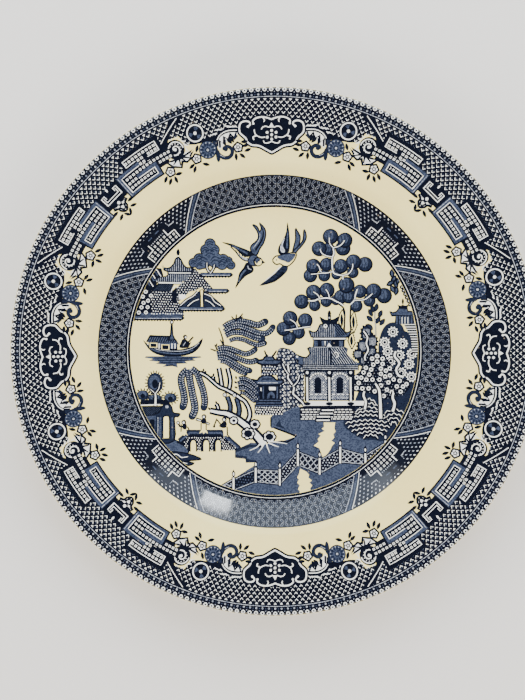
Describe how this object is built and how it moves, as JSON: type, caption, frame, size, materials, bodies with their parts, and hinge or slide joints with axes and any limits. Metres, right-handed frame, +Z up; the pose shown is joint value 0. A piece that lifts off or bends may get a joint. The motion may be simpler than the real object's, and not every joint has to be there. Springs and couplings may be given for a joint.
{
  "type": "dinner plate",
  "caption": "Round dinner plate of glazed earthenware on a low foot ring, with a wide sloping rim and a willow landscape, trellis band and patterned border printed in cobalt blue.",
  "frame": {"origin": "centre of the foot ring, on the plane that the plate stands on", "axes": "+Z up through the centre of the plate, out of the printed face; +Y towards the top of the printed landscape; +X towards its right-hand side"},
  "size_m": [0.26, 0.26, 0.022],
  "materials": {
    "bare_clay": "matte",
    "clear_glaze": "gloss",
    "dark_cobalt": "gloss",
    "cobalt": "gloss",
    "pale_cobalt": "gloss"
  },
  "bodies": {
    "root": {"biscuit_body": "bare_clay", "main_glaze": "clear_glaze", "foot_recess_glaze": "clear_glaze", "rim_cartouche_prints": "dark_cobalt", "rim_roundel_prints": "dark_cobalt", "rim_scroll_prints": "dark_cobalt", "rim_dark_fret_prints": "dark_cobalt", "rim_hook_fret_prints": "dark_cobalt", "rim_flower_prints": "dark_cobalt", "trellis_panel_prints": "dark_cobalt", "well_line_print": "dark_cobalt", "fence_prints": "dark_cobalt", "edge_bead_print": "cobalt", "rim_lattice_print": "cobalt", "trellis_print": "cobalt", "far_island_print": "cobalt", "dove_prints": "cobalt", "willow_print": "cobalt", "boat_print": "cobalt", "bridge_print": "cobalt", "tea_house_print": "cobalt", "rim_rosette_prints": "pale_cobalt", "rim_blue_fret_prints": "pale_cobalt", "fruit_tree_print": "pale_cobalt", "gatehouse_print": "pale_cobalt", "pavilion_print": "pale_cobalt", "blossom_trees_print": "pale_cobalt", "shore_print": "pale_cobalt"}
  },
  "joints": []
}
